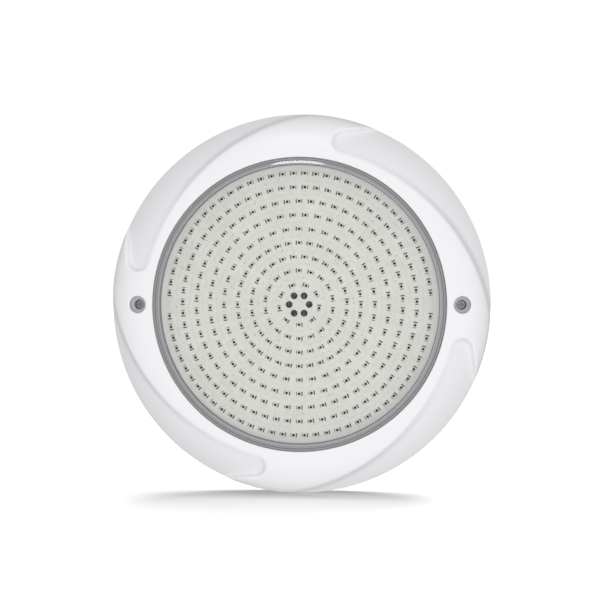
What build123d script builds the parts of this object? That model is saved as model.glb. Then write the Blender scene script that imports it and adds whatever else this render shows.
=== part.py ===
"""Underwater pool light, wall mounted, in millimetres.

The origin is the centre of the wall bracket's back face. The wall is the plane Y = 0, the lamp
looks along -Y, and +Z is up. Heights in this file are measured from the wall towards the water,
along -Y. Radii are measured from the lamp's axis, which is the Y axis.
"""

import os
from math import cos, radians, sin

from build123d import *

os.makedirs("parts", exist_ok=True)

# ---------------------------------------------------------------- driving dimensions
wall = 3.0                        # moulded wall of the bezel
bezel_radius = 145.0
bezel_rear = 1.0                  # the skirt stops just short of the wall
bezel_shoulder = 14.0             # where the straight skirt turns into the crown
bezel_front = 36.0
crown_centre = 111.0              # radius at which the crown is highest
crown_width = bezel_radius - crown_centre
crown_rise = bezel_front - bezel_shoulder
opening_radius = 109.8

scoop_count = 4
scoop_tail_angle = -5.5           # the first scoop's tail, on the outer edge
scoop_edge_centre = (-5.9, -39.5)  # centre of the long inner edge, with the tail at 0 degrees
scoop_edge_radius = 156.0
scoop_end_angle = 80.1            # where the long edge runs into the rounded end
scoop_end_radius = 9.35
scoop_side_slope = -4.0           # the short outer side, from the rounded end to the rim

fixing_offset = 121.5             # the two fixing screws, left and right of the axis
post_radius = 7.2
post_end = 12.0
counterbore_radius = 6.5
counterbore_floor = 27.5
head_bore_radius = 3.8
head_seat = 20.0
fixing_shank_radius = 2.0
fixing_clearance_radius = 2.4
insert_clearance = 0.05           # screw thread to brass insert

seat_radius = 124.5               # bezel ring that lands on the housing flange
flange_radius = 123.0
flange_rear = 24.0
flange_front = 26.5
clamp_count = 8
clamp_radius = 118.0
clamp_start_angle = -10.0
clamp_shank_radius = 1.5
clamp_tip = 33.0

housing_rear = 13.0
housing_floor = 15.5
housing_radius = 110.6
housing_bore = 108.2
ledge_radius = 103.5
ledge_rear = 22.4
ledge_front = 24.9

gasket_inner = 108.6
gasket_outer = 112.6
lens_flange_rear = 28.0
lens_flange_front = 30.5
lens_flange_radius = 113.0
lens_radius = 109.4
lens_bore = 107.0
lens_front = 37.0
lens_thickness = 2.8
lens_shoulder = 2.0

board_radius = 106.4
board_rear = ledge_front
board_front = 26.5
ring_inner = 104.9
ring_outer = 106.6
ring_front = 33.4

led_first_ring = 15.2
led_ring_pitch = 10.45
led_counts = (9, 18, 27, 36, 36, 45, 54, 63)
led_outer_half_count = 36         # the ninth ring is two arcs with a gap at each side
led_outer_pitch = 4.85
led_size = (2.8, 3.5, 0.8)        # radial, tangential, height

terminal_count = 6
terminal_radius = 7.55
terminal_size = (2.6, 1.4)        # radius and height of a solder dome
pin_radius = 0.5
pin_hole_radius = 0.6

driver_radius = 42.0
driver_rear = 17.5
driver_front = 19.1
driver_screw_radius = 36.0

gland_drop = 72.0                 # the gland is this far below the axis
gland_thread_radius = 7.92
gland_hex = 22.0                  # across flats
gland_bore = 5.2
cable_radius = 4.0

bracket_thickness = 3.0
bracket_disc_radius = 50.0
bracket_hole_radius = 22.0
bracket_arm_width = 26.0
bracket_boss_radius = 6.5
wall_screw_spacing = 54.0
wall_screw_hole_radius = 2.75
insert_radius = 3.5
insert_rear = 4.0

# ---------------------------------------------------------------- planes and shared outlines
section = Plane(origin=(0, 0, 0), x_dir=(1, 0, 0), z_dir=(0, 0, -1))   # (radius, height)
fixing_places = [(-fixing_offset, 0), (fixing_offset, 0)]


def front(height):
    """The plane parallel to the wall at this height: local x is X, local y is Z."""
    return Plane(origin=(0, -height, 0), x_dir=(1, 0, 0), z_dir=(0, -1, 0))


def save(builder, name):
    """Label a finished piece and write its STEP file."""
    builder.part.label = name
    export_step(builder.part, f"parts/{name}.step")


def crown(inset):
    """A quarter ellipse from the crown's top to its shoulder, moved inwards by inset."""
    return EllipticalCenterArc(
        (crown_centre, bezel_shoulder),
        crown_width - inset,
        crown_rise - inset,
        start_angle=0,
        arc_size=90,
    )


def scoop_outline(grow):
    """One swirl scoop seen from the front with its tail at 0 degrees, grown by this much."""
    centre = Vector(*scoop_edge_centre)
    reach = scoop_edge_radius + scoop_end_radius
    turn = radians(scoop_end_angle)
    end_centre = centre + Vector(cos(turn), sin(turn)) * reach
    side_turn = radians(scoop_side_slope)
    with BuildSketch() as outline:
        with BuildLine():
            edge = CenterArc(centre, scoop_edge_radius - grow, 8, scoop_end_angle - 8)
            sweep_back = scoop_side_slope - 90 - scoop_end_angle
            end = CenterArc(
                end_centre, scoop_end_radius + grow, scoop_end_angle + 180, sweep_back
            )
            side = Line(end @ 1, (end @ 1) + Vector(cos(side_turn), sin(side_turn)) * 60)
            Polyline(side @ 1, (150, 150), (220, 40), (220, -40), edge @ 0)
        make_face()
    return outline.sketch


def scoops(grow):
    """The four scoops as one cutter: the outline above a concave floor."""
    with BuildPart() as cutter:
        with BuildSketch(front(0)):
            with PolarLocations(0, scoop_count, scoop_tail_angle):
                add(scoop_outline(grow))
        extrude(amount=60)
        with BuildSketch(section):
            with BuildLine():
                floor = ThreePointArc(
                    (100, 40.6 - grow), (130.5 - grow / 2, 26.8 - grow), (147, 11.0 - grow)
                )
                Polyline(floor @ 1, (200, 11.0 - grow), (200, 60), (100, 60), floor @ 0)
            make_face()
        revolve(axis=Axis.Y, mode=Mode.INTERSECT)
    return cutter.part


# ---------------------------------------------------------------- bezel
rib_count = 24
rib_thickness = 1.8
rib_rear = 9.0

with BuildPart() as bezel_hollow:
    with BuildSketch(section):
        with BuildLine():
            roof = crown(wall)
            Polyline(roof @ 0, (bezel_radius - wall, 0), (crown_centre, 0), roof @ 1)
        make_face()
        with Locations((seat_radius / 2, 30)):
            Rectangle(seat_radius, 80, mode=Mode.SUBTRACT)
    revolve(axis=Axis.Y)
    add(scoops(wall), mode=Mode.SUBTRACT)
    with BuildSketch(front(rib_rear)):
        with PolarLocations(bezel_radius - 14, rib_count, 7.5):
            Rectangle(30, rib_thickness)
    extrude(amount=30, mode=Mode.SUBTRACT)
    with BuildSketch(front(post_end)):
        with Locations(fixing_places):
            Circle(post_radius)
    extrude(amount=30, mode=Mode.SUBTRACT)

with BuildPart() as bezel:
    with BuildSketch(section):
        with BuildLine():
            shell = crown(0)
            Polyline(
                shell @ 1,
                (opening_radius, bezel_front),
                (opening_radius, lens_flange_front),
                (lens_flange_radius + 0.3, lens_flange_front),
                (lens_flange_radius + 0.3, flange_front),
                (seat_radius, flange_front),
                (seat_radius, bezel_rear),
                (bezel_radius, bezel_rear),
                shell @ 0,
            )
        make_face()
    revolve(axis=Axis.Y)
    add(bezel_hollow.part, mode=Mode.SUBTRACT)
    add(scoops(0), mode=Mode.SUBTRACT)
    with BuildSketch(front(post_end)):
        with Locations(fixing_places):
            Circle(post_radius)
    extrude(amount=counterbore_floor - post_end)
    with BuildSketch(front(0)):
        with Locations(fixing_places):
            Circle(fixing_clearance_radius)
    extrude(amount=60, mode=Mode.SUBTRACT)
    with BuildSketch(front(head_seat)):
        with Locations(fixing_places):
            Circle(head_bore_radius)
    extrude(amount=40, mode=Mode.SUBTRACT)
    with BuildSketch(front(counterbore_floor)):
        with Locations(fixing_places):
            Circle(counterbore_radius)
    extrude(amount=40, mode=Mode.SUBTRACT)
    with BuildSketch(front(flange_front)):
        with PolarLocations(clamp_radius, clamp_count, clamp_start_angle):
            Circle(clamp_shank_radius + 0.05)
    extrude(amount=clamp_tip + 0.4 - flange_front, mode=Mode.SUBTRACT)
save(bezel, "bezel")

# ---------------------------------------------------------------- lens and its gasket
with BuildPart() as lens:
    with BuildSketch(section):
        with BuildLine():
            Polyline(
                (0, lens_front),
                (lens_radius, lens_front),
                (lens_radius, lens_flange_front),
                (lens_flange_radius, lens_flange_front),
                (lens_flange_radius, lens_flange_rear),
                (lens_bore, lens_flange_rear),
                (lens_bore, lens_front - lens_thickness),
                (0, lens_front - lens_thickness),
                close=True,
            )
        make_face()
    revolve(axis=Axis.Y)
    fillet(lens.edges().group_by(Axis.Y)[0], lens_shoulder)
save(lens, "lens")

with BuildPart() as lens_gasket:
    with BuildSketch(front(flange_front)):
        Circle(gasket_outer)
        Circle(gasket_inner, mode=Mode.SUBTRACT)
    extrude(amount=lens_flange_rear - flange_front)
save(lens_gasket, "lens_gasket")

# ---------------------------------------------------------------- rear housing
stand_off_radius = 4.0
stand_off_pilot = 1.2
driver_screw_angle = 45.0
cradle_count = 12
cradle_thickness = 2.0

with BuildPart() as rear_housing:
    with BuildSketch(section):
        with BuildLine():
            Polyline(
                (0, housing_rear),
                (housing_radius - 4, housing_rear),
                (housing_radius, housing_rear + 4),
                (housing_radius, flange_rear),
                (flange_radius, flange_rear),
                (flange_radius, flange_front),
                (housing_bore, flange_front),
                (housing_bore, ledge_front),
                (ledge_radius, ledge_front),
                (ledge_radius, ledge_rear),
                (housing_bore, ledge_rear),
                (housing_bore, housing_floor + 3),
                (housing_bore - 3, housing_floor),
                (0, housing_floor),
                close=True,
            )
        make_face()
    revolve(axis=Axis.Y)
    with BuildSketch(front(housing_floor)):
        with PolarLocations(housing_bore - 24, cradle_count, 15):
            Rectangle(44, cradle_thickness)
    extrude(amount=ledge_rear - housing_floor - 2)
    with BuildSketch(front(housing_floor)):
        with PolarLocations(driver_screw_radius, 4, driver_screw_angle):
            Circle(stand_off_radius)
    extrude(amount=driver_rear - housing_floor)
    with BuildSketch(front(housing_floor)):
        with PolarLocations(driver_screw_radius, 4, driver_screw_angle):
            Circle(stand_off_pilot + 0.05)
    extrude(amount=driver_rear - housing_floor, mode=Mode.SUBTRACT)
    with BuildSketch(front(housing_rear)):
        with Locations((0, -gland_drop)):
            Circle(gland_thread_radius + 0.1)
    extrude(amount=housing_floor - housing_rear, mode=Mode.SUBTRACT)
    with BuildSketch(front(flange_rear)):
        with Locations(fixing_places):
            Circle(post_radius + 0.5)
        with PolarLocations(clamp_radius, clamp_count, clamp_start_angle):
            Circle(clamp_shank_radius + 0.2)
    extrude(amount=flange_front - flange_rear, mode=Mode.SUBTRACT)
save(rear_housing, "rear_housing")


# ---------------------------------------------------------------- screws
clamp_head = (2.8, 2.6)           # radius and height
fixing_head = (3.6, 3.0)
driver_head = (2.4, 1.6)

with BuildPart() as clamp_screws:
    with BuildSketch(front(flange_rear - clamp_head[1])):
        with PolarLocations(clamp_radius, clamp_count, clamp_start_angle):
            Circle(clamp_head[0])
    extrude(amount=clamp_head[1])
    chamfer(clamp_screws.edges().group_by(Axis.Y)[-1], 0.7)
    with BuildSketch(front(flange_rear)):
        with PolarLocations(clamp_radius, clamp_count, clamp_start_angle):
            Circle(clamp_shank_radius)
    extrude(amount=clamp_tip - flange_rear)
    with BuildSketch(front(flange_rear - clamp_head[1])):
        with PolarLocations(clamp_radius, clamp_count, clamp_start_angle):
            Rectangle(3.0, 0.8)
            Rectangle(0.8, 3.0)
    extrude(amount=1.4, mode=Mode.SUBTRACT)
save(clamp_screws, "clamp_screws")

for name, place in zip(("fixing_screw_left", "fixing_screw_right"), fixing_places):
    with BuildPart() as fixing_screw:
        with BuildSketch(front(head_seat)):
            with Locations(place):
                Circle(fixing_head[0])
        extrude(amount=fixing_head[1])
        fillet(fixing_screw.edges().group_by(Axis.Y)[0], 1.2)
        with BuildSketch(front(2.5)):
            with Locations(place):
                Circle(fixing_shank_radius)
        extrude(amount=head_seat - 2.5)
        with BuildSketch(front(head_seat + fixing_head[1])):
            with Locations(place):
                Rectangle(4.2, 1.0)
                Rectangle(1.0, 4.2)
        extrude(amount=-1.8, mode=Mode.SUBTRACT)
    save(fixing_screw, name)

with BuildPart() as driver_screws:
    with BuildSketch(front(driver_front)):
        with PolarLocations(driver_screw_radius, 4, driver_screw_angle):
            Circle(driver_head[0])
    extrude(amount=driver_head[1])
    fillet(driver_screws.edges().group_by(Axis.Y)[0], 0.6)
    with BuildSketch(front(housing_floor + 0.2)):
        with PolarLocations(driver_screw_radius, 4, driver_screw_angle):
            Circle(stand_off_pilot)
    extrude(amount=driver_front - housing_floor - 0.2)
    with BuildSketch(front(driver_front + driver_head[1])):
        with PolarLocations(driver_screw_radius, 4, driver_screw_angle):
            Rectangle(2.6, 0.6)
            Rectangle(0.6, 2.6)
    extrude(amount=-0.9, mode=Mode.SUBTRACT)
save(driver_screws, "driver_screws")

# ---------------------------------------------------------------- light board and its chips
with BuildPart() as led_board:
    with BuildSketch(front(board_rear)):
        Circle(board_radius)
        with PolarLocations(terminal_radius, terminal_count):
            Circle(pin_hole_radius, mode=Mode.SUBTRACT)
    extrude(amount=board_front - board_rear)
save(led_board, "led_board")

with BuildPart() as board_ring:
    with BuildSketch(section):
        with BuildLine():
            Polyline(
                (ring_inner, board_front),
                (ring_outer, board_front),
                (ring_outer, ring_front),
                (ring_outer - 0.5, ring_front),
                close=True,
            )
        make_face()
    revolve(axis=Axis.Y)
save(board_ring, "board_ring")

for number, count in enumerate(led_counts, start=1):
    with BuildPart() as led_ring:
        with BuildSketch(front(board_front)):
            ring_radius = led_first_ring + (number - 1) * led_ring_pitch
            with PolarLocations(ring_radius, count, -90):
                Rectangle(led_size[0], led_size[1])
        extrude(amount=led_size[2])
    save(led_ring, f"led_ring_{number}")

outer_number = len(led_counts) + 1
outer_span = (led_outer_half_count - 1) * led_outer_pitch
with BuildPart() as outer_led_ring:
    with BuildSketch(front(board_front)):
        outer_ring_radius = led_first_ring + (outer_number - 1) * led_ring_pitch
        for middle in (90, -90):
            with PolarLocations(
                outer_ring_radius,
                led_outer_half_count,
                start_angle=middle - outer_span / 2,
                angular_range=outer_span,
                endpoint=True,
            ):
                Rectangle(led_size[0], led_size[1])
    extrude(amount=led_size[2])
save(outer_led_ring, f"led_ring_{outer_number}")

with BuildPart() as solder_joints:
    with BuildSketch(front(board_front)):
        with PolarLocations(terminal_radius, terminal_count):
            Circle(terminal_size[0])
    extrude(amount=terminal_size[1])
    fillet(solder_joints.edges().group_by(Axis.Y)[0], terminal_size[1] - 0.1)
save(solder_joints, "solder_joints")

# ---------------------------------------------------------------- driver board and its parts
header_radius = 12.0
header_height = 3.4

with BuildPart() as driver_board:
    with BuildSketch(front(driver_rear)):
        Circle(driver_radius)
        with PolarLocations(terminal_radius, terminal_count):
            Circle(pin_hole_radius, mode=Mode.SUBTRACT)
        with PolarLocations(driver_screw_radius, 4, driver_screw_angle):
            Circle(stand_off_pilot + 0.3, mode=Mode.SUBTRACT)
    extrude(amount=driver_front - driver_rear)
save(driver_board, "driver_board")

with BuildPart() as pin_header:
    with BuildSketch(front(driver_front)):
        RegularPolygon(header_radius, 6, rotation=30)
        Circle(terminal_radius - 2.5, mode=Mode.SUBTRACT)
        with PolarLocations(terminal_radius, terminal_count):
            Circle(pin_hole_radius, mode=Mode.SUBTRACT)
    extrude(amount=header_height)
save(pin_header, "pin_header")

with BuildPart() as board_pins:
    with BuildSketch(front(driver_rear - 0.6)):
        with PolarLocations(terminal_radius, terminal_count):
            Circle(pin_radius)
    extrude(amount=board_front - driver_rear + 0.6)
save(board_pins, "board_pins")


def on_driver(places, width, depth, height):
    """A group of equal blocks standing on the driver board."""
    with BuildPart() as group:
        with BuildSketch(front(driver_front)):
            with Locations(places):
                Rectangle(width, depth)
        extrude(amount=height)
    return group


rectifiers = on_driver([(-14, -30), (14, -30)], 8.0, 6.4, 2.6)
save(rectifiers, "rectifiers")

driver_chips = on_driver([(-30, 6), (-30, -6), (30, 6), (30, -6)], 5.0, 4.0, 1.6)
save(driver_chips, "driver_chips")

with BuildPart() as capacitors:
    with BuildSketch(front(driver_front)):
        with Locations((-20, 20), (-9, 27.5), (9, 27.5), (20, 20)):
            Circle(3.2)
    extrude(amount=4.8)
    fillet(capacitors.edges().group_by(Axis.Y)[0], 0.5)
save(capacitors, "capacitors")

with BuildPart() as inductors:
    with BuildSketch(front(driver_front)):
        with Locations((-20, -17), (20, -17)):
            RectangleRounded(8.0, 8.0, 1.6)
    extrude(amount=4.2)
save(inductors, "inductors")

with BuildPart() as chip_resistors:
    with BuildSketch(front(driver_front)):
        with Locations((0, 21)):
            with GridLocations(3.0, 4.0, 3, 2):
                Rectangle(1.2, 2.0)
        with Locations((0, -20)):
            with GridLocations(3.0, 4.0, 5, 2):
                Rectangle(1.2, 2.0)
    extrude(amount=0.55)
save(chip_resistors, "chip_resistors")

# ---------------------------------------------------------------- cable gland
gland_collar_rear = 9.0
gland_washer_rear = 12.0
gland_inner_end = 20.0
gland_thread_rear = 4.6
cap_rear = 1.5
cap_shoulder = 3.5
cap_front = 8.7
locknut_front = 18.5
seal_front = 12.0
gland_place = (0, -gland_drop)

with BuildPart() as gland_body:
    with BuildSketch(front(gland_thread_rear)):
        with Locations(gland_place):
            Circle(gland_thread_radius)
    extrude(amount=gland_inner_end - gland_thread_rear)
    with BuildSketch(front(gland_collar_rear)):
        with Locations(gland_place):
            RegularPolygon(gland_hex / 2, 6, major_radius=False)
    extrude(amount=gland_washer_rear - gland_collar_rear)
    with BuildSketch(front(gland_thread_rear)):
        with Locations(gland_place):
            Circle(gland_bore)
    extrude(amount=gland_inner_end - gland_thread_rear, mode=Mode.SUBTRACT)
save(gland_body, "gland_body")

with BuildPart() as gland_washer:
    with BuildSketch(front(gland_washer_rear)):
        with Locations(gland_place):
            Circle(gland_hex / 2 - 0.4)
            Circle(gland_thread_radius + 0.1, mode=Mode.SUBTRACT)
    extrude(amount=housing_rear - gland_washer_rear)
save(gland_washer, "gland_washer")

with BuildPart() as gland_locknut:
    with BuildSketch(front(housing_floor)):
        with Locations(gland_place):
            RegularPolygon(gland_hex / 2, 6, major_radius=False)
            Circle(gland_thread_radius + 0.06, mode=Mode.SUBTRACT)
    extrude(amount=locknut_front - housing_floor)
save(gland_locknut, "gland_locknut")

with BuildPart() as gland_cap:
    with BuildSketch(front(cap_rear)):
        with Locations(gland_place):
            Circle(gland_hex / 2)
    extrude(amount=cap_front - cap_rear)
    chamfer(gland_cap.edges().group_by(Axis.Y)[-1], 1.6)
    with BuildSketch(front(cap_rear)):
        with Locations(gland_place):
            with PolarLocations(gland_hex / 2 + 0.3, 18):
                Circle(0.9)
    extrude(amount=cap_front - cap_rear, mode=Mode.SUBTRACT)
    with BuildSketch(front(cap_rear)):
        with Locations(gland_place):
            Circle(cable_radius + 0.8)
    extrude(amount=10, mode=Mode.SUBTRACT)
    with BuildSketch(front(cap_shoulder)):
        with Locations(gland_place):
            Circle(gland_thread_radius + 0.08)
    extrude(amount=10, mode=Mode.SUBTRACT)
save(gland_cap, "gland_cap")

with BuildPart() as gland_seal:
    with BuildSketch(front(cap_shoulder + 0.3)):
        with Locations(gland_place):
            Circle(gland_thread_radius - 0.7)
    extrude(amount=gland_thread_rear - cap_shoulder - 0.3)
    with BuildSketch(front(gland_thread_rear)):
        with Locations(gland_place):
            Circle(gland_bore - 0.05)
    extrude(amount=seal_front - gland_thread_rear)
    with BuildSketch(front(cap_shoulder)):
        with Locations(gland_place):
            Circle(cable_radius)
    extrude(amount=seal_front, mode=Mode.SUBTRACT)
save(gland_seal, "gland_seal")

# ---------------------------------------------------------------- lead wires inside the lamp
wire_radius = 0.8
wire_height = 22.6
wire_places = (-1.8, 1.8)

with BuildPart() as lead_wires:
    for across in wire_places:
        with BuildLine() as route:
            FilletPolyline(
                (across, -gland_inner_end + 6, -gland_drop),
                (across, -wire_height, -gland_drop),
                (across, -wire_height, -driver_radius + 2.5),
                (across, -driver_front, -driver_radius + 2.5),
                radius=2.4,
            )
        with BuildSketch(Plane(origin=route.line @ 0, z_dir=route.line % 0)):
            Circle(wire_radius)
        sweep(path=route.line)
save(lead_wires, "lead_wires")

# ---------------------------------------------------------------- wall bracket
arm_rib_height = 9.0
arm_rib_length = 56.0

with BuildPart() as wall_bracket:
    with BuildSketch(front(0)):
        Circle(bracket_disc_radius)
        SlotCenterToCenter(2 * fixing_offset, bracket_arm_width)
        Circle(bracket_hole_radius, mode=Mode.SUBTRACT)
        with GridLocations(wall_screw_spacing, wall_screw_spacing, 2, 2):
            Circle(wall_screw_hole_radius, mode=Mode.SUBTRACT)
    extrude(amount=bracket_thickness)
    with BuildSketch(front(bracket_thickness)):
        for side in (-1, 1):
            with Locations((side * (fixing_offset - 6 - arm_rib_length / 2), 0)):
                with GridLocations(0, 16, 1, 2):
                    Rectangle(arm_rib_length, 2.4)
    extrude(amount=arm_rib_height - bracket_thickness)
    with BuildSketch(front(0)):
        with Locations(fixing_places):
            Circle(bracket_boss_radius)
    extrude(amount=post_end)
    with BuildSketch(front(0)):
        with Locations(fixing_places):
            Circle(fixing_clearance_radius)
    extrude(amount=post_end, mode=Mode.SUBTRACT)
    with BuildSketch(front(insert_rear)):
        with Locations(fixing_places):
            Circle(insert_radius)
    extrude(amount=post_end - insert_rear, mode=Mode.SUBTRACT)
save(wall_bracket, "wall_bracket")

with BuildPart() as bracket_inserts:
    with BuildSketch(front(insert_rear)):
        with Locations(fixing_places):
            Circle(insert_radius)
            Circle(fixing_shank_radius + insert_clearance, mode=Mode.SUBTRACT)
    extrude(amount=post_end - insert_rear)
save(bracket_inserts, "bracket_inserts")
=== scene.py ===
"""Underwater pool light: its finished surfaces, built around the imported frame."""

from math import asin, atan2, cos, hypot, pi, radians, sin

import bmesh
import bpy
import numpy as np
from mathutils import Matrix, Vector
from mathutils.geometry import delaunay_2d_cdt


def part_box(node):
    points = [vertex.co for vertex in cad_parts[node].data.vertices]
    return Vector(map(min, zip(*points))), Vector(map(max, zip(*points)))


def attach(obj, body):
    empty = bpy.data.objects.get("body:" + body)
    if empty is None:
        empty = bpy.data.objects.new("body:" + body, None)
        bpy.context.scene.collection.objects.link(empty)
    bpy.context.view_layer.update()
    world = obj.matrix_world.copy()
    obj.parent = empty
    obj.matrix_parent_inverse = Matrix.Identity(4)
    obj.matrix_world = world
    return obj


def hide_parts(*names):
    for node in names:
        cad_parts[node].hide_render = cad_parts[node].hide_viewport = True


bl_info = {
    "name": "Pool light surfaces",
    "version": (1, 0, 0),
    "blender": (4, 5, 0),
    "location": "View3D > Sidebar > Pool Light",
    "description": "Builds the bezel, lens, light board and finishes of a wall-mounted pool light",
    "category": "Object",
}

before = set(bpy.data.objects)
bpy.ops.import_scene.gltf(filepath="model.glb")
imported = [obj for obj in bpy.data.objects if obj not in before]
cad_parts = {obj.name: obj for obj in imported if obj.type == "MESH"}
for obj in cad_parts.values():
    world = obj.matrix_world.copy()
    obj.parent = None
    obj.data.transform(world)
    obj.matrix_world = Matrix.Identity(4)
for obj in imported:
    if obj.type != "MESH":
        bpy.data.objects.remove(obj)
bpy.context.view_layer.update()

MM = 0.001
LAMP = "lamp"
RING_WIDTH = 1.7
SCREW_HEAD_RADIUS = 3.6


# ------------------------------------------------------------------ sizes read from the frame
def reach(node):
    """Largest distance from the lamp's axis, in millimetres."""
    low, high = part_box(node)
    return (high[0] - low[0]) / 2 / MM


def heights(node):
    """Rear and front of a node, as distances from the wall in millimetres."""
    low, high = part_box(node)
    return -high[1] / MM, -low[1] / MM


RIM = reach("bezel")
SKIRT_REAR, CROWN_TOP = heights("bezel")
LENS_FLANGE = reach("lens")
LENS_REAR, LENS_FRONT = heights("lens")
BOARD_RIM = reach("led_board")
BOARD_REAR, BOARD_FRONT = heights("led_board")
RING_RIM = reach("board_ring")
RING_FRONT = heights("board_ring")[1]
RING_INNER = RING_RIM - RING_WIDTH
CHIP_FRONT = heights("led_ring_1")[1]
FIXING_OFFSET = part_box("fixing_screw_right")[0][0] / MM + SCREW_HEAD_RADIUS
JOINT_HEIGHT = heights("solder_joints")[1] - BOARD_FRONT


# ------------------------------------------------------------------ settings
def number_property(name, description, default, **extra):
    """A number that a user may change."""
    return bpy.props.FloatProperty(name=name, description=description, default=default, **extra)


def size_property(name, description, default):
    """A length in millimetres that a user may change."""
    return number_property(name, description, default, min=0.0)


def count_property(name, description, default, **extra):
    """A whole number that a user may change."""
    return bpy.props.IntProperty(name=name, description=description, default=default, **extra)


class BezelSettings(bpy.types.PropertyGroup):
    """Shape of the bezel, in millimetres and degrees."""

    shoulder: size_property("Shoulder", "Height at which the skirt turns into the crown", 14.0)
    crown_radius: size_property("Crown radius", "Distance of the crown's top from the axis", 111.0)
    opening: size_property("Opening", "Radius of the round opening", 109.8)
    wall: size_property("Wall", "Thickness of the moulded wall", 3.0)
    edge_rounding: size_property("Edge rounding", "Radius of the opening's front edge", 0.9)
    scoop_edge_x: number_property(
        "Scoop arc X", "Centre of a scoop's long edge, tail at 0 degrees", -5.9
    )
    scoop_edge_z: number_property(
        "Scoop arc Z", "Centre of a scoop's long edge, tail at 0 degrees", -39.5
    )
    scoop_edge_radius: size_property("Scoop arc radius", "Radius of a scoop's long edge", 156.0)
    scoop_end_radius: size_property("Scoop end radius", "Radius of a scoop's round end", 9.35)
    scoop_end_angle: number_property(
        "Scoop end", "Where the long edge meets the round end, degrees", 80.1
    )
    scoop_side_slope: number_property(
        "Scoop side", "Direction of a scoop's short outer side, degrees", 14.0
    )
    scoop_tail: number_property("Scoop tail", "Angle of the first scoop's tail, degrees", -5.5)
    scoop_count: count_property("Scoops", "Number of scoops round the bezel", 4, min=1)
    scoop_slope: size_property("Scoop slope", "Width of the wall under a scoop's long edge", 5.0)
    scoop_end_slope: size_property("Scoop end slope", "Width of the wall at the round end", 2.2)
    scoop_crease: size_property("Scoop crease", "Width of the softened edge of a scoop", 0.7)


class BoardSettings(bpy.types.PropertyGroup):
    """Layout of the light board, in millimetres and degrees."""

    first_ring: size_property("First ring", "Radius of the innermost ring of chips", 15.2)
    ring_pitch: size_property("Ring pitch", "Distance between rings of chips", 10.45)
    outer_half_count: count_property("Outer half", "Chips in each half of the outer ring", 36)
    outer_pitch: number_property("Outer pitch", "Angle between chips of the outer ring, degrees", 4.85)
    chip_length: size_property("Chip length", "Chip size along the ring", 3.5)
    chip_width: size_property("Chip width", "Chip size across the ring", 2.8)
    joint_circle: size_property("Joint circle", "Radius of the circle of solder joints", 7.55)
    joint_radius: size_property("Joint radius", "Radius of one solder joint", 2.6)
    via_count: count_property("Vias", "Small plated holes", 90)
    seed: count_property("Seed", "Seed of the chips' small turns", 7)


class StageSettings(bpy.types.PropertyGroup):
    """Camera and studio."""

    distance: number_property("Distance", "Camera to rim", 0.75, unit="LENGTH")
    elevation: number_property("Elevation", "Camera above the axis", radians(1.0), subtype="ANGLE")
    azimuth: number_property("Azimuth", "Camera to the right", radians(3.0), subtype="ANGLE")
    frame_width: number_property("Frame width", "Width seen at the rim", 0.460, unit="LENGTH")
    aim_above: number_property("Aim", "Height of the aim above the axis", 0.0032, unit="LENGTH")


RING_COUNTS = (9, 18, 27, 36, 36, 45, 54, 63)


# ------------------------------------------------------------------ shader expressions
class Wire:
    """A shader socket that can stand in Python arithmetic."""

    def __init__(self, paint, socket):
        self.paint = paint
        self.socket = socket

    def math(self, operation, other=0.0, flipped=False):
        first, second = (other, self) if flipped else (self, other)
        return self.paint.node("ShaderNodeMath", {"operation": operation}, {0: first, 1: second})

    def __add__(self, other):
        return self.math("ADD", other)

    def __sub__(self, other):
        return self.math("SUBTRACT", other)

    def __mul__(self, other):
        return self.math("MULTIPLY", other)

    def __truediv__(self, other):
        return self.math("DIVIDE", other)

    def __pow__(self, other):
        return self.math("POWER", other)

    def __rsub__(self, other):
        return self.math("SUBTRACT", other, True)

    __radd__ = __add__
    __rmul__ = __mul__


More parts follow.
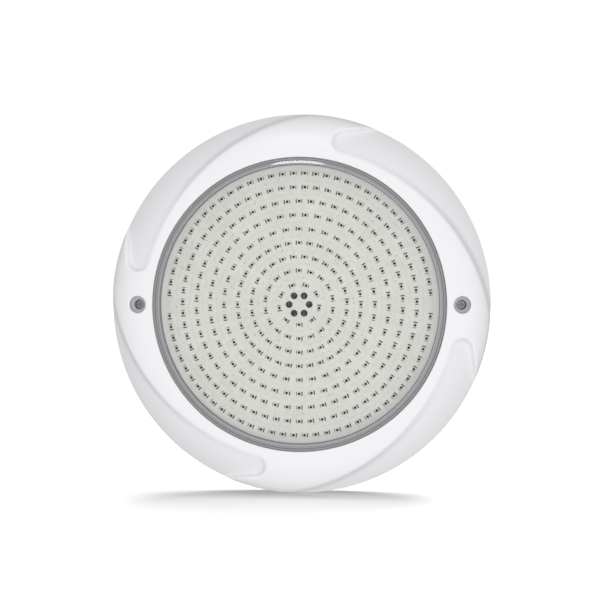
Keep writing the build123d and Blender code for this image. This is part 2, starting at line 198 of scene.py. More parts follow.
class Paint:
    """One material and the nodes that make it."""

    def __init__(self, name):
        self.material = bpy.data.materials.new(name)
        self.material.use_nodes = True
        self.tree = self.material.node_tree
        self.tree.nodes.clear()
        self.place = self.node("ShaderNodeTexCoord", out="Object")

    def node(self, kind, settings=None, inputs=None, out=0):
        """Add a node, set it up, feed its sockets and return one output."""
        made = self.tree.nodes.new(kind)
        for key, value in (settings or {}).items():
            if key == "stops":
                self.set_stops(made.color_ramp, value)
            else:
                setattr(made, key, value)
        for key, value in (inputs or {}).items():
            if isinstance(value, Wire):
                self.tree.links.new(value.socket, made.inputs[key])
            else:
                made.inputs[key].default_value = value
        return Wire(self, made.outputs[out]) if made.outputs else None

    @staticmethod
    def set_stops(ramp, stops):
        while len(ramp.elements) < len(stops):
            ramp.elements.new(0.5)
        for element, (position, grey) in zip(ramp.elements, stops):
            element.position = position
            element.color = (grey, grey, grey, 1.0)

    def noise(self, scale, detail=2.0, roughness=0.5):
        """Soft noise from 0 to 1, at this many features per metre."""
        inputs = {"Vector": self.place, "Scale": scale, "Detail": detail, "Roughness": roughness}
        return self.node("ShaderNodeTexNoise", None, inputs)

    def cells(self, scale, feature="F1"):
        """Distance to scattered points."""
        inputs = {"Vector": self.place, "Scale": scale}
        return self.node("ShaderNodeTexVoronoi", {"feature": feature}, inputs, "Distance")

    def ramp(self, value, *stops):
        """A number mapped through grey stops."""
        return self.node("ShaderNodeValToRGB", {"stops": stops}, {"Fac": value})

    def blend(self, amount, low, high):
        """A colour between two colours."""
        inputs = {"Factor": amount}
        inputs[6] = low if isinstance(low, Wire) else (*low, 1.0)
        inputs[7] = high if isinstance(high, Wire) else (*high, 1.0)
        return self.node("ShaderNodeMix", {"data_type": "RGBA"}, inputs, 2)

    def axes(self):
        """The object coordinates as three numbers."""
        split = self.tree.nodes.new("ShaderNodeSeparateXYZ")
        self.tree.links.new(self.place.socket, split.inputs[0])
        return [Wire(self, output) for output in split.outputs]

    def radius(self):
        """Distance from the lamp's axis."""
        across, _, up = self.axes()
        return (across * across + up * up) ** 0.5

    def span(self, value, low, high, settings=None):
        """How far a value has come from low to high, from 0 to 1."""
        inputs = {"Value": value, "From Min": low, "From Max": high}
        return self.node("ShaderNodeMapRange", settings, inputs)

    def attribute(self, name):
        """A number stored on the piece."""
        return self.node("ShaderNodeAttribute", {"attribute_name": name}, None, "Fac")

    def bump(self, height, distance, strength=1.0):
        """A normal bent by a height from 0 to 1, this many metres deep."""
        inputs = {"Height": height, "Distance": distance, "Strength": strength}
        return self.node("ShaderNodeBump", None, inputs, "Normal")

    def surface(self, colour, roughness, normal=None, metallic=0.0, constants=None):
        """Finish the material with a Principled shader; constants go on its own sockets."""
        inputs = {"Base Color": colour if isinstance(colour, Wire) else (*colour, 1.0)}
        inputs["Roughness"] = roughness
        inputs["Metallic"] = metallic
        if normal:
            inputs["Normal"] = normal
        inputs.update(constants or {})
        shader = self.node("ShaderNodeBsdfPrincipled", None, inputs)
        self.node("ShaderNodeOutputMaterial", None, {"Surface": shader})
        return self.material


# ------------------------------------------------------------------ finishes
def bezel_plastic():
    """Glossy white moulding: faint orange peel, slightly rougher inside the scoops; painted shade makes
    the scoops a little darker and the screw counterbores grey.
    """
    paint = Paint("bezel_plastic")
    scoop = paint.attribute("scoop")
    cloud = paint.noise(14.0, 3.0)
    peel = paint.noise(420.0, 2.0)
    # The scoop term is painted shade, a slightly darker colour inside the scoops; the cloud term is
    # random tone.
    shade = cloud * 0.25 + scoop * 0.75
    colour = paint.blend(shade, (0.85, 0.85, 0.866), (0.83, 0.83, 0.849))
    # Painted shade: the screw counterbores turn grey, standing in for the shade inside them.
    colour = paint.blend(paint.attribute("well"), colour, (0.52, 0.50, 0.54))
    roughness = scoop * 0.1 + cloud * 0.06 + 0.36
    grain = paint.noise(2600.0, 1.0)
    normal = paint.bump(peel * 0.6 + grain * 0.25, 0.00002, 0.5)
    gloss = {"Coat Weight": 0.12, "Coat Roughness": 0.12}
    return paint.surface(colour, roughness, normal, 0.0, gloss)


def clear_lens():
    """Clear polycarbonate: seen through, with gloss that grows towards grazing angles."""
    paint = Paint("clear_lens")
    rim = paint.attribute("rim")
    haze = paint.noise(30.0, 2.0)
    colour = paint.blend(rim, (0.96, 0.97, 0.97), (0.33, 0.33, 0.34))
    gloss = paint.node("ShaderNodeBsdfPrincipled", None, {
        "Base Color": colour,
        "Metallic": 1.0 - rim,
        "Roughness": haze * 0.03 + 0.04,
        "Normal": paint.bump(haze, 0.00001, 0.3),
    })
    clear = paint.node("ShaderNodeBsdfTransparent")
    fresnel = paint.node("ShaderNodeFresnel", None, {"IOR": 1.5})
    cover = fresnel * 0.4 + rim * 0.9
    mixed = paint.node("ShaderNodeMixShader", None, {0: cover, 1: clear, 2: gloss})
    paint.node("ShaderNodeOutputMaterial", None, {"Surface": mixed})
    return paint.material


def board_mask():
    """Matt white solder mask over copper, mottled, with faint tracks between the rings, and painted
    light: paler towards the ring to offset the ring's shadow.
    """
    board = bpy.context.scene.pool_board
    paint = Paint("board_mask")
    fine = paint.noise(1500.0, 2.0, 0.7)
    patch = paint.noise(45.0, 3.0)
    mottle = paint.noise(320.0, 3.0, 0.6)
    ring = (paint.radius() * (1 / MM) - board.first_ring) / board.ring_pitch
    phase = ring.math("FRACT") - 0.5
    track = paint.ramp(phase.math("ABSOLUTE"), (0.0, 1.0), (0.03, 1.0), (0.05, 0.0))
    shade = paint.ramp(fine * 0.45 + mottle * 0.35 + patch * 0.2, (0.3, 0.0), (0.7, 1.0))
    wash = paint.ramp(paint.noise(28.0, 2.0), (0.35, 0.0), (0.65, 1.0))
    pale = paint.blend(wash, (0.785, 0.765, 0.735), (0.745, 0.775, 0.725))
    colour = paint.blend(shade, (0.58, 0.58, 0.545), pale)
    tinted = paint.blend(track * 0.25, (1, 1, 1), (0.8, 0.82, 0.76))
    colour = paint.node(
        "ShaderNodeMix", {"data_type": "RGBA", "blend_type": "MULTIPLY"},
        {"Factor": 1.0, 6: colour, 7: tinted}, 2,
    )
    # Painted light: the mask turns paler over the last 6 mm before the ring, offsetting the ring's
    # shadow on the board.
    eased = {"interpolation_type": "SMOOTHSTEP"}
    low, high = (RING_INNER - 6.0) * MM, (RING_INNER - 0.3) * MM
    border = paint.span(paint.radius(), low, high, eased)
    colour = paint.blend(border * 0.85, colour, (0.86, 0.86, 0.83))
    normal = paint.bump(mottle * 0.4 + fine * 0.4 + track * 0.3, 0.00004, 0.6)
    return paint.surface(colour, fine * 0.15 + 0.42, normal)


def chip_body():
    """White moulded package, a shade apart from its neighbours."""
    paint = Paint("chip_body")
    batch = paint.attribute("batch")
    grain = paint.noise(3200.0, 2.0)
    colour = paint.blend(batch * 0.6 + grain * 0.4, (0.62, 0.62, 0.58), (0.74, 0.74, 0.70))
    return paint.surface(colour, grain * 0.2 + 0.35, paint.bump(grain, 0.00001, 0.4))


def chip_die():
    """The window's grey floor and the dark dice on it, some brownish and some bluish."""
    paint = Paint("chip_die")
    batch = paint.attribute("batch")
    grain = paint.noise(4000.0, 2.0)
    pale = paint.attribute("pale")
    dark = paint.blend(batch, (0.002, 0.002, 0.003), (0.014, 0.008, 0.006))
    colour = paint.blend(pale * 0.8 + grain * 0.1, dark, (0.24, 0.225, 0.195))
    roughness = pale * 0.2 + grain * 0.1 + 0.4
    dull = {"Specular IOR Level": 0.15}
    return paint.surface(colour, roughness, paint.bump(grain, 0.00001, 0.5), 0.0, dull)


def tin_solder():
    """Reflowed solder: dull grey metal with a grainy skin."""
    paint = Paint("tin_solder")
    grain = paint.noise(2400.0, 3.0, 0.6)
    stain = paint.ramp(paint.noise(750.0, 2.0), (0.36, 0.0), (0.66, 1.0))
    colour = paint.blend(stain, (0.022, 0.022, 0.022), (0.17, 0.167, 0.155))
    normal = paint.bump(grain * 0.6 + stain * 0.4, 0.00012, 0.9)
    return paint.surface(colour, grain * 0.25 + 0.32, normal, stain * 0.3 + 0.4)


def plastic(name, low, high, roughness, texture, depth):
    """A moulded plastic with cloudy colour, an eroded surface and fine scratches."""
    paint = Paint(name)
    cloud = paint.noise(22.0, 4.0, 0.6)
    grain = paint.noise(texture, 2.0)
    scuff = paint.ramp(paint.noise(160.0, 5.0, 0.75), (0.45, 0.0), (0.75, 1.0))
    colour = paint.blend(cloud * 0.7 + scuff * 0.3, low, high)
    normal = paint.bump(grain * 0.8 + scuff * 0.2, depth, 0.7)
    return paint.surface(colour, scuff * 0.1 + grain * 0.08 + roughness, normal)


def ring_plastic():
    """Grey satin ring between the board and the lens, with fine turned marks, and painted shadow: near
    black on its inner wall.
    """
    paint = Paint("ring_plastic")
    turned = paint.node(
        "ShaderNodeTexNoise", {"noise_dimensions": "1D"},
        {"W": paint.radius() * 9000.0, "Scale": 1.0, "Detail": 2.0},
    )
    cloud = paint.noise(60.0, 3.0)
    colour = paint.blend(cloud * 0.4 + turned * 0.6, (0.40, 0.395, 0.42), (0.50, 0.495, 0.52))
    # Painted shadow: the inner wall is near black, standing in for the shade of the gap between ring and
    # board.
    inner_wall_shadow = paint.span(paint.radius(), (RING_INNER + 0.04) * MM, (RING_INNER + 0.25) * MM)
    colour = paint.blend(inner_wall_shadow, (0.07, 0.07, 0.075), colour)
    normal = paint.bump(turned, 0.00003, 0.12)
    return paint.surface(colour, turned * 0.15 + 0.48, normal, 0.0, {"Specular IOR Level": 0.25})


def steel(name):
    """Stainless steel turned on a lathe, lightly scratched."""
    paint = Paint(name)
    lines = paint.noise(1800.0, 4.0, 0.7)
    stain = paint.noise(180.0, 3.0)
    colour = paint.blend(stain, (0.50, 0.49, 0.475), (0.64, 0.635, 0.625))
    return paint.surface(colour, lines * 0.22 + 0.2, paint.bump(lines, 0.00002, 0.6), 1.0)


def brass(name):
    """Turned brass, a little dulled."""
    paint = Paint(name)
    grain = paint.noise(1500.0, 3.0)
    dull = paint.noise(220.0, 3.0)
    colour = paint.blend(dull, (0.62, 0.45, 0.18), (0.42, 0.29, 0.12))
    return paint.surface(colour, grain * 0.2 + 0.25, paint.bump(grain, 0.00002, 0.6), 1.0)


def rubber(name):
    """Black silicone rubber with a dusty bloom."""
    paint = Paint(name)
    bloom = paint.ramp(paint.noise(90.0, 5.0, 0.7), (0.4, 0.0), (0.8, 1.0))
    grain = paint.noise(2600.0, 2.0)
    colour = paint.blend(bloom, (0.018, 0.018, 0.02), (0.055, 0.055, 0.058))
    return paint.surface(colour, bloom * 0.15 + 0.5, paint.bump(grain, 0.00002, 0.7))


def green_board(name):
    """Green solder mask with copper tracks showing through as lighter lines."""
    paint = Paint(name)
    tracks = paint.ramp(paint.cells(220.0, "DISTANCE_TO_EDGE"), (0.0, 1.0), (0.07, 1.0), (0.1, 0.0))
    grain = paint.noise(1800.0, 2.0)
    colour = paint.blend(tracks, (0.008, 0.065, 0.025), (0.025, 0.16, 0.06))
    normal = paint.bump(tracks * 0.7 + grain * 0.1, 0.00003, 0.7)
    return paint.surface(colour, grain * 0.12 + 0.24, normal)


def capacitor_can(name):
    """Drawn aluminium can with a faint vertical grain."""
    paint = Paint(name)
    grain = paint.noise(2200.0, 3.0)
    cloud = paint.noise(150.0, 2.0)
    colour = paint.blend(cloud, (0.60, 0.60, 0.61), (0.74, 0.74, 0.75))
    return paint.surface(colour, grain * 0.2 + 0.24, paint.bump(grain, 0.00001, 0.6), 1.0)


def paint_frame_nodes():
    """Give every node that stays from the frame its finish."""
    white = plastic("housing_plastic", (0.60, 0.60, 0.60), (0.70, 0.70, 0.70), 0.38, 900.0, 0.00004)
    nylon = plastic("gland_plastic", (0.66, 0.66, 0.65), (0.76, 0.76, 0.75), 0.42, 1500.0, 0.00003)
    bracket = plastic("bracket_plastic", (0.56, 0.56, 0.56), (0.67, 0.67, 0.66), 0.45, 1100.0, 0.00005)
    black = plastic("chip_black", (0.012, 0.012, 0.012), (0.035, 0.035, 0.035), 0.48, 2600.0, 0.00002)
    header = plastic("header_plastic", (0.014, 0.014, 0.015), (0.04, 0.04, 0.04), 0.4, 2000.0, 0.00002)
    ferrite = plastic("inductor_ferrite", (0.05, 0.05, 0.055), (0.11, 0.11, 0.115), 0.5, 1600.0, 0.00003)
    ceramic = plastic("chip_ceramic", (0.26, 0.19, 0.14), (0.40, 0.32, 0.25), 0.4, 2200.0, 0.00001)
    wires = plastic("wire_insulation", (0.20, 0.012, 0.012), (0.34, 0.03, 0.03), 0.4, 1800.0, 0.00001)
    seal = rubber("seal_rubber")
    screws = steel("screw_steel")
    satin = plastic("screw_satin", (0.40, 0.385, 0.42), (0.52, 0.50, 0.54), 0.5, 1500.0, 0.00002)
    yellow = brass("pin_brass")
    finishes = {
        "rear_housing": white,
        "gland_body": nylon,
        "gland_cap": nylon,
        "gland_locknut": nylon,
        "wall_bracket": bracket,
        "bracket_inserts": yellow,
        "board_pins": yellow,
        "lens_gasket": seal,
        "gland_washer": seal,
        "gland_seal": seal,
        "clamp_screws": screws,
        "fixing_screw_left": satin,
        "fixing_screw_right": satin,
        "driver_screws": screws,
        "pin_header": header,
        "driver_board": green_board("board_green"),
        "rectifiers": black,
        "driver_chips": black,
        "chip_resistors": ceramic,
        "capacitors": capacitor_can("capacitor_can"),
        "inductors": ferrite,
        "lead_wires": wires,
    }
    for node, material in finishes.items():
        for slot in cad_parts[node].material_slots:
            slot.material = material


# ------------------------------------------------------------------ mesh helpers
def spot(radius, angle, height, centre=(0.0, 0.0)):
    """A point in metres from a radius, an angle in radians and a height above the wall."""
    across = centre[0] + radius * cos(angle)
    up = centre[1] + radius * sin(angle)
    return (across * MM, -height * MM, up * MM)


def add_object(name, mesh, material=None):
    """Link a mesh as an object at the origin."""
    piece = bpy.data.objects.new(name, mesh)
    bpy.context.scene.collection.objects.link(piece)
    if material:
        mesh.materials.append(material)
    return piece


def finish_mesh(name, shape, material, sharp_degrees=40.0):
    """Merge doubles, turn the faces outwards and shade the result smooth."""
    bmesh.ops.remove_doubles(shape, verts=shape.verts, dist=0.000004)
    bmesh.ops.dissolve_degenerate(shape, edges=shape.edges, dist=0.000002)
    bmesh.ops.recalc_face_normals(shape, faces=shape.faces)
    mesh = bpy.data.meshes.new(name)
    shape.to_mesh(mesh)
    shape.free()
    mesh.shade_smooth()
    mesh.set_sharp_from_angle(angle=radians(sharp_degrees))
    return add_object(name, mesh, material)


def store_number(mesh, name, values):
    """Keep one number on each vertex."""
    layer = mesh.attributes.new(name, "FLOAT", "POINT")
    layer.data.foreach_set("value", values)


def vertex_places(piece):
    """Every vertex of a piece, in millimetres."""
    places = np.empty(len(piece.data.vertices) * 3)
    piece.data.vertices.foreach_get("co", places)
    return places.reshape(-1, 3) / MM


def bridge(shape, rows):
    """Faces between closed rows that have equally many corners."""
    for first, second in zip(rows, rows[1:]):
        for step, corner in enumerate(first):
            after = (step + 1) % len(first)
            shape.faces.new([corner, first[after], second[after], second[step]])


def turn_profile(shape, profile, segments, centre=(0.0, 0.0)):
    """Revolve (radius, height) points about an axis along Y; radius 0 closes to a pole."""
    rows = []
    for radius, height in profile:
        count = segments if radius > 0 else 1
        row = []
        for step in range(count):
            angle = 2 * pi * step / segments
            row.append(shape.verts.new(spot(radius, angle, height, centre)))
        rows.append(row)
    for first, second in zip(rows, rows[1:]):
        for step in range(segments):
            ring = [
                first[step % len(first)],
                first[(step + 1) % len(first)],
                second[(step + 1) % len(second)],
                second[step % len(second)],
            ]
            corners = list(dict.fromkeys(ring))
            if len(corners) > 2:
                shape.faces.new(corners)


def rounded(corner, start, end, steps=6):
    """Points of a quarter round from start to end about the sharp corner between them."""
    points = []
    for step in range(steps + 1):
        turn = pi / 2 * step / steps
        fall = 1 - sin(turn)
        rise = 1 - cos(turn)
        across = corner[0] + (start[0] - corner[0]) * fall + (end[0] - corner[0]) * rise
        up = corner[1] + (start[1] - corner[1]) * fall + (end[1] - corner[1]) * rise
        points.append((across, up))
    return points


# ------------------------------------------------------------------ the bezel's shape
SCOOP_FLOOR = ((100.0, 40.6), (130.5, 26.8), (147.0, 11.0))
COUNTERBORE = 6.5
COUNTERBORE_FLOOR = 27.5
HEAD_BORE = 3.8
HEAD_SEAT = 20.0
SUNK_LEVEL = HEAD_SEAT - 3.0
SHANK_BORE = 2.4
POST_RADIUS = 7.2
POST_END = 12.0
POST_OPENING = POST_RADIUS - 0.6
SEAT_SUNK_WITHIN = (5.6, 7.0)      # seat fully down, and not down at all, round a screw
BACK_SUNK_WITHIN = (COUNTERBORE + 4.0, COUNTERBORE + 7.0)
HOLE_EASE = 0.45
HOLE_EASE_WIDTH = 1.0
SEAT_RADIUS = 124.5
SEAT_HEIGHT = 26.5
SEAT_ROWS = 10
POST_TOP = SEAT_HEIGHT + 4.5
LIP_REAR = 30.5
SOCKET_GAP = 0.3
RIB_COUNT = 24
RIB_FIRST_ANGLE = 7.5
RIB_REAR = 9.0
RIB_HALF_THICKNESS = 0.9
RIB_INNER = SEAT_RADIUS - 0.8
RIB_OUTER = RIM - 1.5
RIB_STEPS = 8
RIB_OVERLAP = 1.2                  # how far a rib goes into the sheet above it
RIB_TOP = 33.0
SCOOP_PAINT_FROM = 13.0            # lower than this, the skirt is no part of a scoop
# Depth at which the painted shade in the screw counterbores reaches its full grey.
HOLE_SHADE_DEPTH = 2.0


class BezelShape:
    """Heights of the bezel's front and back at any place on its plan."""

    def __init__(self, settings):
        self.set = settings
        self.width = RIM - settings.crown_radius
        self.rise = CROWN_TOP - settings.shoulder
        self.edge_centre = np.array((settings.scoop_edge_x, settings.scoop_edge_z))
        turn = radians(settings.scoop_end_angle)
        reach_out = settings.scoop_edge_radius + settings.scoop_end_radius
        self.end_centre = self.edge_centre + reach_out * np.array((cos(turn), sin(turn)))
        slope = radians(settings.scoop_side_slope)
        self.side_normal = np.array((-sin(slope), cos(slope)))
        self.side_point = self.end_centre + settings.scoop_end_radius * self.side_normal

    def turned_back(self, across, up, scoop):
        """The place as seen from a scoop whose tail is at 0 degrees."""
        angle = -radians(self.set.scoop_tail + 360 / self.set.scoop_count * scoop)
        return (
            across * np.cos(angle) - up * np.sin(angle),
            across * np.sin(angle) + up * np.cos(angle),
        )

    def inside(self, across, up):
        """Distance inside the nearest scoop's outline, negative outside, and its wall's width."""
        wide = self.set.scoop_slope
        narrow = self.set.scoop_end_slope
        best = np.full(np.shape(across), -1e9)
        width = np.full(np.shape(across), wide)
        for scoop in range(self.set.scoop_count):
            x, z = self.turned_back(across, up, scoop)
            edge = np.hypot(x - self.edge_centre[0], z - self.edge_centre[1])
            edge = edge - self.set.scoop_edge_radius
            side = -(
                (x - self.side_point[0]) * self.side_normal[0]
                + (z - self.side_point[1]) * self.side_normal[1]
            )
            from_end = (x - self.end_centre[0], z - self.end_centre[1])
            end = self.set.scoop_end_radius - np.hypot(*from_end)
            bearing = np.degrees(np.arctan2(from_end[1], from_end[0])) % 360
            low = 90 + self.set.scoop_side_slope
            high = 180 + self.set.scoop_end_angle
            capped = (bearing > low) & (bearing < high)
            near_side = side / narrow < edge / wide
            gap = np.where(capped, end, np.where(near_side, side, edge))
            turn = np.clip((bearing - low) / (high - low), 0, 1)
            slope = np.where(near_side, narrow, wide)
            slope = np.where(capped, narrow + (wide - narrow) * turn**2, slope)
            nearer = gap > best
            best = np.where(nearer, gap, best)
            width = np.where(nearer, slope, width)
        return best, width

    def crown(self, radius, inset=0.0):
        """Height of the plain crown, or of its inner side."""
        share = np.clip((radius - self.set.crown_radius) / (self.width - inset), 0, 1)
        return self.set.shoulder + (self.rise - inset) * np.sqrt(1 - share**2)

    def scoop_share(self, across, up):
        """How far a place has sunk to the scoop's floor, from 0 to 1."""
        inside, width = self.inside(across, up)
        crease = self.set.scoop_crease
        eased = (inside + np.sqrt(inside**2 + crease**2)) / 2 - 0.05 * crease
        share = np.clip(eased / width, 0, 1)
        return 1 - (1 - share) ** 2

    def front(self, radius, angle, crown_height=None):
        """Height of the finished front surface."""
        across = radius * np.cos(angle)
        up = radius * np.sin(angle)
        plain = self.crown(radius) if crown_height is None else crown_height
        depth = np.maximum(plain - scoop_floor_arc(radius), 0)
        height = plain - depth * self.scoop_share(across, up)
        for side in (-1, 1):
            gap = np.hypot(across - side * FIXING_OFFSET, up) - COUNTERBORE
            height = height - HOLE_EASE * np.clip(1 - gap / HOLE_EASE_WIDTH, 0, 1) ** 2
        return height

    def back(self, radius, angle):
        """Height of the inner side behind the front surface."""
        wall = self.set.wall
        height = np.minimum(self.crown(radius, wall), self.front(radius, angle) - wall)
        return self.sunk(height, radius, angle, BACK_SUNK_WITHIN)

    def sunk(self, height, radius, angle, within):
        """Heights taken down round the fixing screws, fully within the first distance."""
        full, none = within
        for side in (-1, 1):
            gap = np.hypot(radius * np.cos(angle) - side * FIXING_OFFSET, radius * np.sin(angle))
            share = np.clip((none - gap) / (none - full), 0, 1)
            height = height - share * np.maximum(height - SUNK_LEVEL, 0)
        return height


def circle_through(first, second, third):
    """Centre and radius of the circle through three points."""
    rows = [[2 * (p[0] - first[0]), 2 * (p[1] - first[1])] for p in (second, third)]
    sums = [p[0] ** 2 + p[1] ** 2 - first[0] ** 2 - first[1] ** 2 for p in (second, third)]
    centre = np.linalg.solve(np.array(rows), np.array(sums))
    return centre, hypot(first[0] - centre[0], first[1] - centre[1])


FLOOR_CENTRE, FLOOR_RADIUS = circle_through(*SCOOP_FLOOR)


def scoop_floor_arc(radius):
    """Height of the arc through the floor's three points."""
    across = np.clip(radius - FLOOR_CENTRE[0], -FLOOR_RADIUS, FLOOR_RADIUS)
    return FLOOR_CENTRE[1] + np.sqrt(FLOOR_RADIUS**2 - across**2)


WINDOW_DEPTH = 0.2
SMALL_DIE_DEPTH = 0.12
DIE_DEPTH = 0.05
HALF_COLUMNS = 300        # columns of the bezel's grid in half a turn
CROWN_ROWS = 44
BACK_ROWS = 26
SEAM_ANGLE = radians(-9.0)
STRETCH = 130.0           # plan angle to millimetres, for even triangles
ROW_STRETCH = 28.0
OUTLINE_OFFSETS = (-2.4, -1.5, -0.9, -0.5, -0.2, 0.0, 0.2, 0.45, 0.75, 1.1, 1.5, 2.0, 2.6, 3.4, 4.4)
HOLE_OFFSETS = (0.0, 0.25, 0.6, 1.1, 2.0)
HOLE_SEGMENTS = 96


def outline_points(shape, offset, spacing=0.9):
    """Points along one scoop's outline, moved inwards by offset, tail at 0 degrees."""
    settings = shape.set
    points = []
    radius = settings.scoop_edge_radius + offset
    end = radians(settings.scoop_end_angle)
    for angle in np.arange(radians(6), end, spacing / radius):
        points.append(shape.edge_centre + radius * np.array((cos(angle), sin(angle))))
    radius = max(settings.scoop_end_radius - offset, 0.5)
    last = radians(90 + settings.scoop_side_slope)
    for angle in np.arange(end + pi, last, -0.7 * spacing / radius):
        points.append(shape.end_centre + radius * np.array((cos(angle), sin(angle))))
    along = np.array((shape.side_normal[1], -shape.side_normal[0]))
    start = shape.end_centre + radius * shape.side_normal
    for distance in np.arange(0, 60, spacing):
        points.append(start + along * distance)
    return points


def crown_points(shape):
    """Plan points of half the crown, as (column millimetres, row millimetres)."""
    settings = shape.set
    grid = []
    for row in range(CROWN_ROWS + 1):
        tilt = pi / 2 * row / CROWN_ROWS
        for column in range(HALF_COLUMNS + 1):
            grid.append((SEAM_ANGLE + pi * column / HALF_COLUMNS, tilt))
    grid = np.array(grid)
    radius = settings.crown_radius + shape.width * np.sin(grid[:, 1])
    across = radius * np.cos(grid[:, 0])
    up = radius * np.sin(grid[:, 0])
    inside, _ = shape.inside(across, up)
    gap = np.hypot(across - FIXING_OFFSET, up) - COUNTERBORE
    column = (grid[:, 0] - SEAM_ANGLE) / pi
    border = (column < 1e-6) | (column > 1 - 1e-6)
    border |= (grid[:, 1] < 1e-6) | (grid[:, 1] > pi / 2 - 1e-6)
    free = ((inside < -3.0) | (inside > 5.2)) & (gap > HOLE_OFFSETS[-1] + 0.8)
    kept = [tuple(point) for point in grid[border | free]]
    for scoop in range(settings.scoop_count):
        turn = radians(settings.scoop_tail + 360 / settings.scoop_count * scoop)
        for offset in OUTLINE_OFFSETS:
            for point in outline_points(shape, offset):
                angle = atan2(point[1], point[0]) + turn
                angle = (angle - SEAM_ANGLE) % (2 * pi) + SEAM_ANGLE
                share = (hypot(*point) - settings.crown_radius) / shape.width
                if angle > SEAM_ANGLE + pi - 0.004 or not 0.02 < share < 0.9995:
                    continue
                place = (hypot(*point) * cos(angle), hypot(*point) * sin(angle))
                if hypot(place[0] - FIXING_OFFSET, place[1]) < COUNTERBORE + HOLE_OFFSETS[-1] + 0.5:
                    continue
                kept.append((angle, asin(share)))
    for offset in HOLE_OFFSETS:
        for step in range(HOLE_SEGMENTS):
            turn = 2 * pi * step / HOLE_SEGMENTS
            across = FIXING_OFFSET + (COUNTERBORE + offset) * cos(turn)
            up = (COUNTERBORE + offset) * sin(turn)
            share = (hypot(across, up) - settings.crown_radius) / shape.width
            kept.append((atan2(up, across), asin(share)))
    return [Vector((angle * STRETCH, tilt * ROW_STRETCH)) for angle, tilt in kept]


def add_crown(shape, target):
    """Triangulate half the crown round its scoops and screw hole, and add it twice."""
    flat, _, triangles, *_ = delaunay_2d_cdt(crown_points(shape), [], [], 0, 1e-6)
    angle = np.array([point[0] for point in flat]) / STRETCH
    tilt = np.array([point[1] for point in flat]) / ROW_STRETCH
    radius = shape.set.crown_radius + shape.width * np.sin(tilt)
    plain = shape.set.shoulder + shape.rise * np.cos(tilt)
    height = shape.front(radius, angle, plain)
    across = radius * np.cos(angle)
    up = radius * np.sin(angle)
    gap = np.hypot(across - FIXING_OFFSET, up)
    for sign in (1, -1):
        corners = [
            target.verts.new((sign * x * MM, -h * MM, sign * z * MM))
            for x, h, z in zip(across, height, up)
        ]
        for triangle in triangles:
            if max(gap[i] for i in triangle) > COUNTERBORE + 0.01:
                target.faces.new([corners[i] for i in triangle])


def add_strips(shape, target):
    """The lip, the seat, the inner side and the skirt, as rings of equal columns."""
    settings = shape.set
    count = 2 * HALF_COLUMNS
    angle = SEAM_ANGLE + np.arange(count) * pi / HALF_COLUMNS
    even = np.ones(count)
    lip = rounded(
        (settings.opening, CROWN_TOP),
        (settings.opening + settings.edge_rounding, CROWN_TOP),
        (settings.opening, CROWN_TOP - settings.edge_rounding),
    )
    rows = [(settings.crown_radius * even, shape.front(settings.crown_radius * even, angle))]
    rows += [(radius * even, height * even) for radius, height in lip]
    socket = LENS_FLANGE + SOCKET_GAP
    for radius, height in (
        (settings.opening, LIP_REAR + 0.3),
        (settings.opening + 0.3, LIP_REAR),
        (socket, LIP_REAR),
        (socket, SEAT_HEIGHT + 0.3),
    ):
        rows.append((radius * even, height * even))
    for radius in np.linspace(socket + 0.3, SEAT_RADIUS, SEAT_ROWS):
        seat = shape.sunk(SEAT_HEIGHT * even, radius * even, angle, SEAT_SUNK_WITHIN)
        rows.append((radius * even, seat))
    inner_wall = RIM - settings.wall
    for step in range(BACK_ROWS + 1):
        radius = SEAT_RADIUS + (inner_wall - SEAT_RADIUS) * sin(pi / 2 * step / BACK_ROWS)
        rows.append((radius * even, shape.back(radius * even, angle)))
    rim = shape.front(RIM * even, angle, settings.shoulder)
    for radius, height in (
        (inner_wall, SKIRT_REAR + 0.3),
        (inner_wall + 0.3, SKIRT_REAR),
        (RIM - 0.5, SKIRT_REAR),
        (RIM - 0.15, SKIRT_REAR + 0.15),
        (RIM, SKIRT_REAR + 0.5),
        (RIM, SKIRT_REAR + 5),
    ):
        rows.append((radius * even, height * even))
    rows.append((RIM * even, rim - 0.35))
    rows.append((RIM * even, rim))
    placed = []
    for radius, height in rows:
        row = zip(radius, angle, height)
        placed.append([target.verts.new(spot(r, a, h)) for r, a, h in row])
    bridge(target, placed)


def add_screw_posts(shape, target):
    """Counterbore, bore and rear post of each fixing screw."""
    for side in (-1, 1):
        centre = side * FIXING_OFFSET
        start = 0 if side > 0 else pi
        turns = [start + 2 * pi * step / HOLE_SEGMENTS for step in range(HOLE_SEGMENTS)]
        rim = []
        for turn in turns:
            across = centre + COUNTERBORE * cos(turn)
            up = COUNTERBORE * sin(turn)
            angle = atan2(up, across)
            height = float(shape.front(np.float64(hypot(across, up)), np.float64(angle)))
            rim.append(target.verts.new((across * MM, -height * MM, up * MM)))
        profile = rounded(
            (COUNTERBORE, COUNTERBORE_FLOOR),
            (COUNTERBORE, COUNTERBORE_FLOOR + 0.5),
            (COUNTERBORE - 0.5, COUNTERBORE_FLOOR),
            4,
        )
        profile += rounded(
            (HEAD_BORE, COUNTERBORE_FLOOR),
            (HEAD_BORE + 0.3, COUNTERBORE_FLOOR),
            (HEAD_BORE, COUNTERBORE_FLOOR - 0.3),
            4,
        )
        profile += [(HEAD_BORE, HEAD_SEAT), (SHANK_BORE, HEAD_SEAT), (SHANK_BORE, POST_END)]
        profile += [(POST_RADIUS - 0.3, POST_END), (POST_RADIUS, POST_END + 0.3)]
        profile += [(POST_RADIUS, POST_TOP)]
        rows = [rim]
        for radius, height in profile:
            points = [spot(radius, turn, height, (centre, 0.0)) for turn in turns]
            rows.append([target.verts.new(point) for point in points])
        bridge(target, rows)


def open_posts(target):
    """Take away the sheet that would cross the fixing screws inside their posts."""
    crossing = []
    for face in target.faces:
        gaps = [hypot(abs(v.co.x) / MM - FIXING_OFFSET, v.co.z / MM) for v in face.verts]
        drops = [abs(v.co.y / MM + SUNK_LEVEL) for v in face.verts]
        if max(gaps) < POST_OPENING and max(drops) < 0.01:
            crossing.append(face)
    bmesh.ops.delete(target, geom=crossing, context="FACES")


